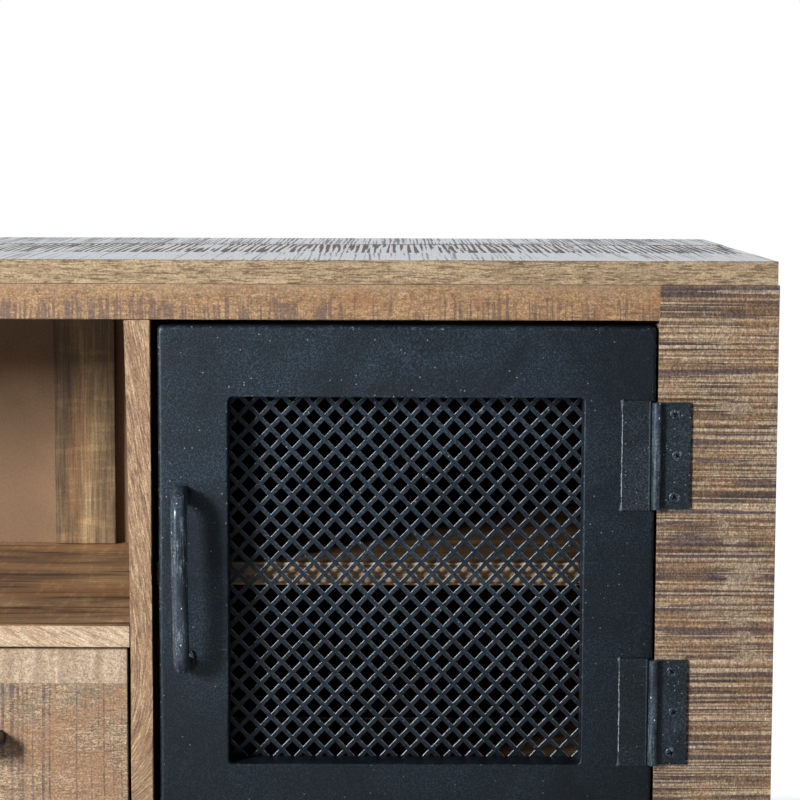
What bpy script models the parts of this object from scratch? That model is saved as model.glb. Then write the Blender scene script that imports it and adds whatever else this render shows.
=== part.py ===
"""TV stand with an open niche and two drawers between two mesh doors.

Metres, +Z up. The origin is at the middle of the base and the front faces -Y.
"""
import math

import bmesh
import bpy
from mathutils import Matrix, Vector

# Whole stand
WIDTH = 1.450
DEPTH = 0.400
HEIGHT = 0.500
HANDLE_REACH = 0.032
GAP = 0.0003
SOFT_EDGE = 0.001

# Boards of the carcass
TOP_THICKNESS = 0.016
POST_WIDTH = 0.080
POST_DEPTH = 0.025
TOP_RAIL_HEIGHT = 0.024
BOTTOM_RAIL_HEIGHT = 0.024
SIDE_THICKNESS = 0.016
BOTTOM_THICKNESS = 0.016
FLOOR_Z = 0.106
REAR_FOOT_LENGTH = 0.080
DIVIDER_INNER_X = 0.290
DIVIDER_THICKNESS = 0.015
NICHE_FLOOR_Z = 0.2525
NICHE_SHELF_THICKNESS = 0.0145
CABINET_SHELF_Z = 0.2915
CABINET_SHELF_THICKNESS = 0.0137
CABINET_SHELF_SETBACK = 0.030
BACK_PANEL_SETBACK = 0.357
BACK_PANEL_THICKNESS = 0.006
BATTEN_X = (0.193, 0.242)
BATTEN_THICKNESS = 0.010

# Doors
DOOR_X = (0.3096, 0.6434)
DOOR_Z = (0.110, 0.456)
DOOR_DEPTH = 0.025
DOOR_SHEET = 0.002
DOOR_CORNER = 0.003
WINDOW_X = (0.3564, 0.5953)
WINDOW_Z = (0.158, 0.408)
MESH_SETBACK = 0.022
MESH_THICKNESS = 0.0015
MESH_OVERLAP = 0.012
MESH_PITCH_X = 0.0294
MESH_PITCH_Z = 0.0307
MESH_STRIP = 0.0064

# Butt hinges
HINGE_X = 0.6438
HINGE_CENTRES_Z = {"lower": 0.1945, "upper": 0.3695}
HINGE_HEIGHT = 0.072
BARREL_RADIUS = 0.00335
BORE_RADIUS = 0.0018
PIN_RADIUS = 0.0015
KNUCKLES = 5
KNUCKLE_SIDES = 14
LEAF_THICKNESS = 0.0018
LEAF_REACH = 0.0228
LEAF_CLEARANCE = 0.0036
SCREW_OFFSETS = ((0.0126, 0.028), (0.0143, 0.0), (0.0126, -0.028))
SCREW_HEAD_RADIUS = 0.0038
SCREW_SHANK_RADIUS = 0.0018
SCREW_LENGTH = 0.016
SCREW_SIDES = 12

# Drawers
PARTITION_THICKNESS = 0.015
DRAWER_GAP = 0.002
DRAWER_FRONT_THICKNESS = 0.018
DRAWER_FRONT_TOP = 0.2363
DRAWER_WALL = 0.012
DRAWER_WALL_HEIGHT = 0.105
DRAWER_LENGTH = 0.335
DRAWER_BOTTOM_THICKNESS = 0.006
DRAWER_BOTTOM_LIFT = 0.006

# Handles
ROD_RADIUS = 0.0056
HANDLE_LENGTH = 0.126
DRAWER_HANDLE_LENGTH = 0.112
HANDLE_BEND = 0.014
HANDLE_BOW = 0.002
BEND_STEPS = 4
DOOR_HANDLE_X = 0.326
DOOR_HANDLE_Z = 0.2854
DRAWER_HANDLE_Z = 0.1755

# Planes worked out from the sizes above
FRONT = (HANDLE_REACH - DEPTH) / 2
BACK = FRONT + DEPTH
TOP_UNDER = HEIGHT - TOP_THICKNESS
OPENING_TOP = TOP_UNDER - TOP_RAIL_HEIGHT
POST_INNER_X = WIDTH / 2 - POST_WIDTH
SIDE_INNER_X = WIDTH / 2 - SIDE_THICKNESS
DIVIDER_OUTER_X = DIVIDER_INNER_X + DIVIDER_THICKNESS
NICHE_SHELF_UNDER = NICHE_FLOOR_Z - NICHE_SHELF_THICKNESS
PANEL_Y = FRONT + BACK_PANEL_SETBACK
HINGE_Y = FRONT - GAP - BARREL_RADIUS
FLANK_NAMES = {-1: "left", 1: "right"}

# Colours as red, green, blue, then roughness and metallic
FINISHES = {
    "wood_top": ((0.42, 0.36, 0.31), 0.45, 0.0),
    "wood_rail": ((0.42, 0.26, 0.15), 0.55, 0.0),
    "wood_post": ((0.46, 0.32, 0.20), 0.60, 0.0),
    "wood_inside": ((0.34, 0.20, 0.12), 0.55, 0.0),
    "wood_drawer": ((0.45, 0.31, 0.20), 0.55, 0.0),
    "back_board": ((0.30, 0.18, 0.12), 0.70, 0.0),
    "black_steel": ((0.030, 0.038, 0.048), 0.42, 0.70),
    "screw_steel": ((0.050, 0.058, 0.066), 0.38, 0.85),
}


def clear_scene():
    for item in list(bpy.data.objects):
        bpy.data.objects.remove(item, do_unlink=True)


def new_collection(name):
    group = bpy.data.collections.new(name)
    bpy.context.scene.collection.children.link(group)
    return group


def new_material(name, finish):
    colour, roughness, metallic = FINISHES[finish]
    material = bpy.data.materials.new(name)
    material.use_nodes = True
    shader = material.node_tree.nodes["Principled BSDF"]
    shader.inputs["Base Color"].default_value = (*colour, 1.0)
    shader.inputs["Roughness"].default_value = roughness
    shader.inputs["Metallic"].default_value = metallic
    material.diffuse_color = (*colour, 1.0)
    return material


def place(name, mesh, location, finish, parent):
    """Link a mesh as one named piece of the stand, at a place in the stand's frame."""
    piece = bpy.data.objects.new(name, mesh)
    PARTS.objects.link(piece)
    mesh.materials.append(new_material(name, finish))
    piece.location = Vector(location)
    if parent is not None:
        piece.parent = parent
        piece.location -= parent.location
    return piece


def guide(name, mesh, location, parent=None):
    """Link a mesh that only cuts or extends a piece."""
    item = bpy.data.objects.new(name, mesh)
    TOOLS.objects.link(item)
    item.location = Vector(location)
    if parent is not None:
        item.parent = parent
        item.location -= parent.location
    item.display_type = 'WIRE'
    item.hide_render = True
    return item


def combine(piece, tool, operation):
    step = piece.modifiers.new(tool.name, 'BOOLEAN')
    step.operation = operation
    step.object = tool


def soften(piece, width=SOFT_EDGE, segments=1):
    edge = piece.modifiers.new("soft_edges", 'BEVEL')
    edge.width = width
    edge.segments = segments
    edge.limit_method = 'ANGLE'


def mesh_from(bm, name):
    mesh = bpy.data.meshes.new(name)
    bm.to_mesh(mesh)
    bm.free()
    return mesh


def add_block(bm, x, y, z):
    """Add a box to bm between low and high values along each axis."""
    low = Vector((min(x), min(y), min(z)))
    high = Vector((max(x), max(y), max(z)))
    middle = Matrix.Translation((low + high) / 2)
    bmesh.ops.create_cube(bm, size=1.0, matrix=middle @ Matrix.Diagonal((*(high - low), 1.0)))


def add_cylinder(bm, centre, axis, radius, length, sides, end_radius=None):
    """Add a cylinder or cone along a world axis; end_radius is the radius at its +axis end."""
    turn = Vector((0, 0, 1)).rotation_difference(Vector(axis)).to_matrix().to_4x4()
    bmesh.ops.create_cone(
        bm, cap_ends=True, segments=sides, depth=length, radius1=radius,
        radius2=radius if end_radius is None else end_radius,
        matrix=Matrix.Translation(centre) @ turn)


def block_mesh(name, size):
    bm = bmesh.new()
    add_block(bm, *((-edge / 2, edge / 2) for edge in size))
    return mesh_from(bm, name)


def board(name, x, y, z, finish, parent=None):
    """A board with slightly broken edges, between low and high values along each axis."""
    size = [max(span) - min(span) for span in (x, y, z)]
    centre = [sum(span) / 2 for span in (x, y, z)]
    piece = place(name, block_mesh(name, size), centre, finish, parent)
    soften(piece)
    return piece


def box_cutter(name, x, y, z, parent=None):
    size = [max(span) - min(span) for span in (x, y, z)]
    centre = [sum(span) / 2 for span in (x, y, z)]
    return guide(name, block_mesh(name, size), centre, parent)


def flank(side, low, high):
    """The span from low to high on the right, or its mirror image on the left."""
    return tuple(sorted((side * low, side * high)))


def axis_empty(name, location):
    empty = bpy.data.objects.new(name, None)
    PARTS.objects.link(empty)
    empty.location = Vector(location)
    return empty


def make_carcass():
    board("top_board", (-WIDTH / 2, WIDTH / 2), (FRONT, BACK), (TOP_UNDER, HEIGHT), "wood_top")
    rail_x = (GAP - POST_INNER_X, POST_INNER_X - GAP)
    rail_y = (FRONT, FRONT + POST_DEPTH)
    board("top_rail", rail_x, rail_y, (OPENING_TOP, TOP_UNDER - GAP), "wood_rail")
    board("bottom_rail", rail_x, rail_y, (FLOOR_Z - BOTTOM_RAIL_HEIGHT, FLOOR_Z), "wood_rail")
    behind_posts = FRONT + POST_DEPTH + GAP
    board("bottom_board", (GAP - SIDE_INNER_X, SIDE_INNER_X - GAP), (behind_posts, BACK),
          (FLOOR_Z - BOTTOM_THICKNESS, FLOOR_Z), "wood_inside")
    board("back_panel", (GAP - SIDE_INNER_X, SIDE_INNER_X - GAP),
          (PANEL_Y, PANEL_Y + BACK_PANEL_THICKNESS), (FLOOR_Z + GAP, TOP_UNDER - GAP), "back_board")
    board("niche_shelf", (GAP - DIVIDER_INNER_X, DIVIDER_INNER_X - GAP), (FRONT, PANEL_Y - GAP),
          (NICHE_SHELF_UNDER, NICHE_FLOOR_Z), "wood_inside")
    board("drawer_partition", (-PARTITION_THICKNESS / 2, PARTITION_THICKNESS / 2),
          (FRONT, PANEL_Y - GAP), (FLOOR_Z + GAP, NICHE_SHELF_UNDER - GAP), "wood_rail")


def make_flank(side):
    """The boards that the left and right ends of the stand have in common."""
    name = FLANK_NAMES[side]
    make_post(side)
    make_side_panel(side)
    divider = board("divider_" + name, flank(side, DIVIDER_INNER_X, DIVIDER_OUTER_X),
                    (FRONT, PANEL_Y - GAP), (FLOOR_Z + GAP, TOP_UNDER - GAP), "wood_rail")
    notch = box_cutter("rail_notch_" + name, flank(side, DIVIDER_INNER_X - 0.01, DIVIDER_OUTER_X + 0.01),
                       (FRONT - 0.01, FRONT + POST_DEPTH + GAP), (OPENING_TOP - GAP, HEIGHT))
    combine(divider, notch, 'DIFFERENCE')
    board("back_batten_" + name, flank(side, *BATTEN_X),
          (PANEL_Y - GAP - BATTEN_THICKNESS, PANEL_Y - GAP),
          (NICHE_FLOOR_Z + GAP, TOP_UNDER - GAP), "wood_inside")
    board("cabinet_shelf_" + name, flank(side, DIVIDER_OUTER_X + GAP, SIDE_INNER_X - GAP),
          (FRONT + CABINET_SHELF_SETBACK, PANEL_Y - GAP),
          (CABINET_SHELF_Z - CABINET_SHELF_THICKNESS, CABINET_SHELF_Z), "wood_inside")


def make_post(side):
    """A front post, which runs to the floor as a foot, with pilot holes for the hinge screws."""
    name = FLANK_NAMES[side]
    post = board("front_post_" + name, flank(side, POST_INNER_X, WIDTH / 2),
                 (FRONT, FRONT + POST_DEPTH), (0.0, TOP_UNDER - GAP), "wood_post")
    bm = bmesh.new()
    depth = SCREW_LENGTH + 0.002
    for centre_z in HINGE_CENTRES_Z.values():
        for offset_x, offset_z in SCREW_OFFSETS:
            centre = (side * (HINGE_X + offset_x), FRONT + depth / 2 - 0.001, centre_z + offset_z)
            add_cylinder(bm, centre, (0, 1, 0), SCREW_SHANK_RADIUS + GAP, depth, SCREW_SIDES)
    pilots = guide("pilot_holes_" + name, mesh_from(bm, "pilot_holes_" + name), (0, 0, 0))
    combine(post, pilots, 'DIFFERENCE')


def make_side_panel(side):
    """The end board behind the post; an arch cut from its lower edge leaves the rear foot."""
    name = FLANK_NAMES[side]
    start = FRONT + POST_DEPTH + GAP
    panel = board("side_panel_" + name, flank(side, SIDE_INNER_X, WIDTH / 2), (start, BACK),
                  (0.0, TOP_UNDER - GAP), "wood_post")
    arch = box_cutter("foot_arch_" + name, flank(side, SIDE_INNER_X - 0.01, WIDTH / 2 + 0.01),
                      (start - 0.01, BACK - REAR_FOOT_LENGTH), (-0.01, FLOOR_Z - BOTTOM_RAIL_HEIGHT))
    combine(panel, arch, 'DIFFERENCE')


def knuckle_span(index):
    """Low and high Z of one knuckle, from the middle of the hinge."""
    pitch = HINGE_HEIGHT / KNUCKLES
    low = index * pitch - HINGE_HEIGHT / 2
    return low + GAP / 2, low + pitch - GAP / 2


def make_leaf(name, side, indexes, screws, centre_z, axis_side, parent):
    """A hinge leaf that reaches towards side, with the knuckles whose indexes are given."""
    axis = Vector((axis_side * HINGE_X, HINGE_Y, centre_z))
    plate_y = (BARREL_RADIUS - LEAF_THICKNESS, BARREL_RADIUS)
    bm = bmesh.new()
    add_block(bm, (side * 0.001, side * LEAF_REACH), plate_y, (-HINGE_HEIGHT / 2, HINGE_HEIGHT / 2))
    leaf = place(name, mesh_from(bm, name), axis, "black_steel", parent)

    bm = bmesh.new()
    for index in indexes:
        low, high = knuckle_span(index)
        add_cylinder(bm, (0, 0, (low + high) / 2), (0, 0, 1), BARREL_RADIUS, high - low, KNUCKLE_SIDES)
    combine(leaf, guide(name + "_knuckles", mesh_from(bm, name + "_knuckles"), axis, parent), 'UNION')

    bm = bmesh.new()
    for index in range(KNUCKLES):
        if index in indexes:
            continue
        low, high = knuckle_span(index)
        past_end = 0.01 if index in (0, KNUCKLES - 1) else 0.0
        low -= past_end if index == 0 else GAP
        high += past_end if index == KNUCKLES - 1 else GAP
        add_block(bm, (-side * 0.001, side * LEAF_CLEARANCE), (0.0, 0.01), (low, high))
    combine(leaf, guide(name + "_slots", mesh_from(bm, name + "_slots"), axis, parent), 'DIFFERENCE')

    bm = bmesh.new()
    add_cylinder(bm, (0, 0, 0), (0, 0, 1), BORE_RADIUS, HINGE_HEIGHT + 0.01, KNUCKLE_SIDES)
    if screws:
        for offset_x, offset_z in SCREW_OFFSETS:
            centre = (side * offset_x, BARREL_RADIUS - LEAF_THICKNESS / 2, offset_z)
            add_cylinder(bm, centre, (0, -1, 0), SCREW_SHANK_RADIUS + GAP, LEAF_THICKNESS + 0.0004,
                         SCREW_SIDES, SCREW_HEAD_RADIUS + 2 * GAP)
    combine(leaf, guide(name + "_bore", mesh_from(bm, name + "_bore"), axis, parent), 'DIFFERENCE')


def make_screw(name, side, centre_z, offset_x, offset_z):
    """A countersunk screw, turned from its profile, with its head at the front."""
    under_head = LEAF_THICKNESS + GAP
    profile = ((0.0, 0.0), (SCREW_HEAD_RADIUS, 0.0), (SCREW_SHANK_RADIUS, -LEAF_THICKNESS),
               (SCREW_SHANK_RADIUS, 0.003 - SCREW_LENGTH), (0.0, under_head - SCREW_LENGTH))
    bm = bmesh.new()
    points = [bm.verts.new((radius, 0.0, height)) for radius, height in profile]
    for first, second in zip(points, points[1:]):
        bm.edges.new((first, second))
    head_y = HINGE_Y + BARREL_RADIUS - LEAF_THICKNESS
    place_at = (side * (HINGE_X + offset_x), head_y, centre_z + offset_z)
    screw = place(name, mesh_from(bm, name), place_at, "screw_steel", None)
    screw.rotation_euler = (math.pi / 2, 0.0, 0.0)
    turned = screw.modifiers.new("turned", 'SCREW')
    turned.steps = SCREW_SIDES
    turned.render_steps = SCREW_SIDES
    turned.use_merge_vertices = True
    turned.merge_threshold = 0.00005


def make_hinge(side, level, door):
    name = FLANK_NAMES[side] + "_" + level
    centre_z = HINGE_CENTRES_Z[level]
    make_leaf("hinge_post_leaf_" + name, side, (0, 2, 4), True, centre_z, side, None)
    make_leaf("hinge_door_leaf_" + name, -side, (1, 3), False, centre_z, side, door)
    bm = bmesh.new()
    add_cylinder(bm, (0, 0, 0), (0, 0, 1), PIN_RADIUS, HINGE_HEIGHT, KNUCKLE_SIDES)
    pin_name = "hinge_pin_" + name
    place(pin_name, mesh_from(bm, pin_name), (side * HINGE_X, HINGE_Y, centre_z), "screw_steel", None)
    for number, (offset_x, offset_z) in enumerate(SCREW_OFFSETS, start=1):
        make_screw("hinge_screw_%s_%d" % (name, number), side, centre_z, offset_x, offset_z)


def make_door_frame(side, door):
    """A folded sheet ring: front face, outer return and inner return, open at the back."""
    name = FLANK_NAMES[side]
    outer_x = flank(side, *DOOR_X)
    window_x = flank(side, *WINDOW_X)
    size = (outer_x[1] - outer_x[0], DOOR_DEPTH, DOOR_Z[1] - DOOR_Z[0])
    mesh = block_mesh("door_frame_" + name, size)
    bm = bmesh.new()
    bm.from_mesh(mesh)
    front_edges = [edge for edge in bm.edges
                   if all(vert.co.y < 0 for vert in edge.verts)]
    bmesh.ops.bevel(bm, geom=front_edges, offset=DOOR_CORNER, segments=3, profile=0.5, affect='EDGES')
    bm.to_mesh(mesh)
    bm.free()
    centre = (sum(outer_x) / 2, FRONT + DOOR_DEPTH / 2, sum(DOOR_Z) / 2)
    frame = place("door_frame_" + name, mesh, centre, "black_steel", door)

    tray = box_cutter("door_tray_" + name, (outer_x[0] + DOOR_SHEET, outer_x[1] - DOOR_SHEET),
                      (FRONT + DOOR_SHEET, FRONT + DOOR_DEPTH + 0.01),
                      (DOOR_Z[0] + DOOR_SHEET, DOOR_Z[1] - DOOR_SHEET), door)
    combine(frame, tray, 'DIFFERENCE')
    lining = box_cutter("door_lining_" + name, (window_x[0] - DOOR_SHEET, window_x[1] + DOOR_SHEET),
                        (FRONT + DOOR_SHEET / 2, FRONT + MESH_SETBACK),
                        (WINDOW_Z[0] - DOOR_SHEET, WINDOW_Z[1] + DOOR_SHEET), door)
    combine(frame, lining, 'UNION')
    window = box_cutter("door_window_" + name, window_x, (FRONT - 0.01, FRONT + DOOR_DEPTH), WINDOW_Z, door)
    combine(frame, window, 'DIFFERENCE')


def make_door_mesh(side, door):
    """The perforated sheet behind the window, with rows of square holes standing on a corner."""
    name = FLANK_NAMES[side]
    window_x = flank(side, *WINDOW_X)
    centre = Vector((sum(window_x) / 2, FRONT + MESH_SETBACK + GAP + MESH_THICKNESS / 2, sum(WINDOW_Z) / 2))
    half_width = (window_x[1] - window_x[0]) / 2
    half_height = (WINDOW_Z[1] - WINDOW_Z[0]) / 2
    size = (2 * (half_width + MESH_OVERLAP), MESH_THICKNESS, 2 * (half_height + MESH_OVERLAP))
    sheet = place("door_mesh_" + name, block_mesh("door_mesh_" + name, size), centre, "black_steel", door)

    hole_radius = (math.hypot(MESH_PITCH_X, MESH_PITCH_Z) / 2 - MESH_STRIP) / math.sqrt(2)
    columns = int(half_width / (MESH_PITCH_X / 2)) + 1
    rows = int(half_height / (MESH_PITCH_Z / 2)) + 1
    bm = bmesh.new()
    for row in range(-rows, rows + 1):
        for column in range(-columns, columns + 1):
            hole_x = column * MESH_PITCH_X / 2
            hole_z = row * MESH_PITCH_Z / 2
            inside = abs(hole_x) < half_width and abs(hole_z) < half_height
            if inside and (row + column) % 2 == 0:
                add_cylinder(bm, (hole_x, 0, hole_z), (0, 1, 0), hole_radius, 3 * MESH_THICKNESS, 4)
    holes = guide("mesh_holes_" + name, mesh_from(bm, "mesh_holes_" + name), centre, door)
    combine(sheet, holes, 'DIFFERENCE')


def handle_path(length):
    """Points of a bow handle along its own x axis, standing out towards -y, feet at y = 0."""
    reach = HANDLE_REACH - ROD_RADIUS - HANDLE_BOW
    half = length / 2 - ROD_RADIUS
    bend = [(half - HANDLE_BEND * (1 - math.cos(angle)), -reach + HANDLE_BEND * (1 - math.sin(angle)))
            for angle in (step * math.pi / 2 / BEND_STEPS for step in range(BEND_STEPS + 1))]
    straight = half - HANDLE_BEND
    bow = [(straight * share, -reach - HANDLE_BOW * (1 - share * share))
           for share in (0.67, 0.33, 0.0)]
    right = [(half, -GAP)] + bend + bow
    left = [(-x, y) for x, y in reversed(right[:-1])]
    return right + left


def make_handle(name, location, length, upright, parent):
    curve = bpy.data.curves.new(name, 'CURVE')
    curve.dimensions = '3D'
    curve.bevel_depth = ROD_RADIUS
    curve.bevel_resolution = 2
    curve.use_fill_caps = True
    path = handle_path(length)
    spline = curve.splines.new('POLY')
    spline.points.add(len(path) - 1)
    for point, (along, out) in zip(spline.points, path):
        point.co = (0.0, out, along, 1.0) if upright else (along, out, 0.0, 1.0)
    handle = bpy.data.objects.new(name, curve)
    PARTS.objects.link(handle)
    curve.materials.append(new_material(name, "black_steel"))
    handle.parent = parent
    handle.location = Vector(location) - parent.location


def make_door(side):
    name = FLANK_NAMES[side]
    door = axis_empty("door_axis_" + name, (side * HINGE_X, HINGE_Y, sum(DOOR_Z) / 2))
    make_door_frame(side, door)
    make_door_mesh(side, door)
    make_handle("door_handle_" + name, (side * DOOR_HANDLE_X, FRONT, DOOR_HANDLE_Z), HANDLE_LENGTH, True, door)
    for level in HINGE_CENTRES_Z:
        make_hinge(side, level, door)


def make_drawer(side):
    name = "drawer_" + FLANK_NAMES[side]
    low_x = PARTITION_THICKNESS / 2 + DRAWER_GAP
    high_x = DIVIDER_INNER_X - DRAWER_GAP
    centre_x = side * (low_x + high_x) / 2
    slide = axis_empty(name + "_slide", (centre_x, FRONT, DRAWER_HANDLE_Z))
    base_z = FLOOR_Z + GAP
    wall_y = (FRONT + DRAWER_FRONT_THICKNESS + GAP, FRONT + DRAWER_LENGTH)
    wall_z = (base_z, base_z + DRAWER_WALL_HEIGHT)
    board(name + "_front", flank(side, low_x, high_x), (FRONT, FRONT + DRAWER_FRONT_THICKNESS),
          (FLOOR_Z + DRAWER_GAP, DRAWER_FRONT_TOP), "wood_drawer", slide)
    board(name + "_inner_wall", flank(side, low_x, low_x + DRAWER_WALL), wall_y, wall_z,
          "wood_inside", slide)
    board(name + "_outer_wall", flank(side, high_x - DRAWER_WALL, high_x), wall_y, wall_z,
          "wood_inside", slide)
    between = flank(side, low_x + DRAWER_WALL + GAP, high_x - DRAWER_WALL - GAP)
    back_front_y = wall_y[1] - DRAWER_WALL
    board(name + "_back", between, (back_front_y, wall_y[1]), wall_z, "wood_inside", slide)
    bottom_z = base_z + DRAWER_BOTTOM_LIFT
    board(name + "_bottom", between, (wall_y[0], back_front_y - GAP),
          (bottom_z, bottom_z + DRAWER_BOTTOM_THICKNESS), "back_board", slide)
    make_handle(name + "_handle", (centre_x, FRONT, DRAWER_HANDLE_Z), DRAWER_HANDLE_LENGTH, False, slide)


clear_scene()
PARTS = new_collection("tv_stand_with_doors")
TOOLS = new_collection("cutters")
make_carcass()
for flank_side in FLANK_NAMES:
    make_flank(flank_side)
    make_door(flank_side)
    make_drawer(flank_side)
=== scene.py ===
"""Looks of the TV stand: detailed boards, sheet-metal doors, perforated sheets, hinges and handles."""
import math

import bmesh
import bpy
from mathutils import Matrix, Vector, noise


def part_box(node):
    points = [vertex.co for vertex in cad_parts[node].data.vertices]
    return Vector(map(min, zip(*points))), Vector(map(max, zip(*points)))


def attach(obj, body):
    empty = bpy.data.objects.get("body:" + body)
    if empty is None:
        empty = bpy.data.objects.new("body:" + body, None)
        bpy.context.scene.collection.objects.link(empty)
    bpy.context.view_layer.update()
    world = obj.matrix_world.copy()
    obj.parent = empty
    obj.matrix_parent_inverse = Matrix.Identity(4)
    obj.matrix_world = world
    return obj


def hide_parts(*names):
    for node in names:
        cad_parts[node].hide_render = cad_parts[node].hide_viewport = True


noise.seed_set(3)  # noise_vector would otherwise take its offsets from the clock

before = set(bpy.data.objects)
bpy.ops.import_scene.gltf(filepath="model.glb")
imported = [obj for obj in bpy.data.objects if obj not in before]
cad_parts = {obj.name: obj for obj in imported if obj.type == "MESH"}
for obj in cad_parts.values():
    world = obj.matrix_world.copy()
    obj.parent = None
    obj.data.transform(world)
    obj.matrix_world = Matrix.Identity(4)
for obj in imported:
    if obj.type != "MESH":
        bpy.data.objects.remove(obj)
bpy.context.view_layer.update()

SIDES = {"left": -1, "right": 1}
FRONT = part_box("door_frame_right")[0].y

# Camera at the photograph's place and angle
CAMERA_PLACE = (0.4664, -1.8311, 0.5746)
CAMERA_PITCH = math.radians(5.828)
CAMERA_YAW = math.radians(0.191)
CAMERA_ROLL = math.radians(0.175)
CAMERA_LENS = 111.33
KEY_PLACE = (-1.59, -2.30, 1.11)
KEY_TARGET = (0.3, -0.05, 0.3)
GLOW_START, GLOW_END = 0.22, 0.36  # behind the stand the floor turns to plain white

# Colours, linear; in the stops, each after the level that gives it
MARK_PURPLE = (0.105, 0.072, 0.070)
RUST_WOOD = (0.30, 0.160, 0.075)
STEEL_BLUE = (0.0038, 0.0076, 0.0138)
STEEL_PALE = (0.0145, 0.0243, 0.0372)
HINGE_BLUE = (0.0100, 0.0150, 0.0210)
HINGE_PALE = (0.0280, 0.0390, 0.0520)
WORN_STEEL = (0.140, 0.180, 0.220)
STEEL_TINT = (0.80, 0.93, 1.0)
POST_STOPS = ((0.395, (0.37, 0.272, 0.180)), (0.445, (0.248, 0.169, 0.105)), (0.50, (0.160, 0.104, 0.068)),
              (0.555, (0.105, 0.069, 0.049)), (0.62, (0.060, 0.042, 0.036)))
STRIP_STOPS = ((0.36, (0.49, 0.385, 0.280)), (0.50, (0.41, 0.310, 0.218)), (0.66, (0.34, 0.250, 0.172)))
DARK_STOPS = ((0.34, (0.17, 0.105, 0.060)), (0.50, (0.10, 0.060, 0.034)), (0.66, (0.035, 0.022, 0.015)))
NICHE_STOPS = ((0.36, (0.54, 0.350, 0.195)), (0.46, (0.38, 0.235, 0.125)), (0.55, (0.25, 0.150, 0.082)),
               (0.66, (0.060, 0.038, 0.026)))
BATTEN_STOPS = ((0.34, (0.31, 0.212, 0.110)), (0.44, (0.195, 0.127, 0.062)), (0.56, (0.130, 0.081, 0.040)),
                (0.68, (0.045, 0.028, 0.017)))
SHELF_STOPS = ((0.36, (0.36, 0.245, 0.145)), (0.48, (0.25, 0.160, 0.090)), (0.58, (0.15, 0.092, 0.050)),
               (0.68, (0.08, 0.048, 0.028)))
HIGHLIGHT_STOPS = ((0.36, (0.15, 0.18, 0.21)), (0.48, (0.43, 0.50, 0.57)), (0.62, (0.66, 0.74, 0.81)))

# Sizes, metres
TOP_INSET = 0.0012  # the posts stand this far outside the top
RAIL_TENON = 0.0010  # the rail's rounded ends go this far into the posts
SHELF_EXTRA = 0.0022  # the cupboard shelves are this much thicker below
STRIP_HEIGHT = 0.023  # the pale strip along a drawer front's upper edge
ARCH_HEIGHT, ARCH_FOOT = 0.082, 0.080  # the cut-out below a side, and the foot left behind it
FLARE, FLARE_HEIGHT = 0.0028, 0.22  # how far a divider widens, and over what height
FLARE_FACE = 0.2975  # the divider's vertices nearer the middle than this move


# ---------------------------------------------------------------- materials

class Value:
    """A node's output, with arithmetic that adds Math nodes."""

    def __init__(self, shader, socket):
        self.shader, self.socket = shader, socket

    def __add__(self, other):
        return self.shader.math('ADD', self, other)

    def __sub__(self, other):
        return self.shader.math('SUBTRACT', self, other)

    def __rsub__(self, other):
        return self.shader.math('SUBTRACT', other, self)

    def __mul__(self, other):
        return self.shader.math('MULTIPLY', self, other)


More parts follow.
